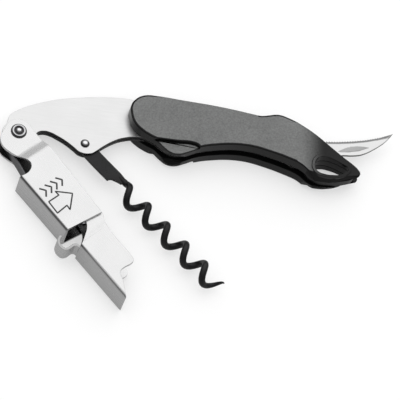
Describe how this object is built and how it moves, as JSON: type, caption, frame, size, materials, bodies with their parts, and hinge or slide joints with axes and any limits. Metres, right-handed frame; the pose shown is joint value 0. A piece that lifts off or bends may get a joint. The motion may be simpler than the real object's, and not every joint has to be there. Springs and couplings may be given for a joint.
{
  "type": "lever corkscrew",
  "caption": "Waiter's corkscrew with a hinged two-step lever, a folding coated worm and a serrated foil cutter in a moulded grip.",
  "frame": {"origin": "on the lower scale's flat outer face, under the middle of the grip, where the tool lies on a table", "axes": "+Z through the thickness away from the table, +X along the grip from the lever's pivot to the tail, +Y towards the back of the handle"},
  "size_m": [0.1407, 0.0799, 0.012],
  "materials": {
    "satin_steel": "satin stainless steel frame plates",
    "lever_steel": "pressed stainless steel sheet",
    "blade_steel": "ground stainless steel blade",
    "polished_steel": "polished rivets, studs and washers",
    "spring_steel": "dark spring steel",
    "black_coating": "black satin non-stick coating on steel",
    "black_moulding": "glossy black moulded plastic",
    "moulded_grip": "grained grey-black moulded face with glossy black rim"
  },
  "bodies": {
    "frame": {"liner_lower": "satin_steel", "liner_upper": "satin_steel", "nose_spacer": "spring_steel", "worm_backspring": "spring_steel", "blade_backspring": "spring_steel", "tail_spacer": "black_moulding", "scale_upper": "moulded_grip", "scale_lower": "moulded_grip", "frame_rivet_front": "polished_steel", "frame_rivet_rear": "polished_steel", "grip_peg_front": "polished_steel", "grip_peg_rear": "polished_steel", "blade_pivot_pin": "polished_steel", "lever_pivot_rivet": "polished_steel", "worm_pivot_rivet": "polished_steel", "lever_washer_upper": "polished_steel", "lever_washer_lower": "polished_steel"},
    "upper_lever": {"upper_lever": "lever_steel", "lever_leaf_spring": "spring_steel", "hinge_stud_upper": "polished_steel", "hinge_stud_lower": "polished_steel"},
    "lower_lever": {"lower_lever": "lever_steel"},
    "worm": {"worm": "black_coating"},
    "foil_blade": {"foil_blade": "blade_steel"}
  },
  "joints": [
    {"name": "lever_pivot", "type": "hinge", "parent": "frame", "child": "upper_lever", "pos_m": [-0.07, -0.011, 0.006], "axis": [0, 0, 1], "range_deg": [-52, 47]},
    {"name": "lever_hinge", "type": "hinge", "parent": "upper_lever", "child": "lower_lever", "pos_m": [-0.0447, -0.03813, 0.006], "axis": [0, 0, 1], "range_deg": [-28, 0]},
    {"name": "worm_pivot", "type": "hinge", "parent": "frame", "child": "worm", "pos_m": [-0.0465, -0.0115, 0.006], "axis": [0, 0, 1], "range_deg": [-44.5, 40.5]},
    {"name": "blade_pivot", "type": "hinge", "parent": "frame", "child": "foil_blade", "pos_m": [0.03296, -0.0041, 0.006], "axis": [0, 0, 1], "range_deg": [-5, 140]}
  ],
  "couplings": [
    {"joint": "worm_pivot", "follows": "lever_pivot", "ratio": 0.8426}
  ]
}
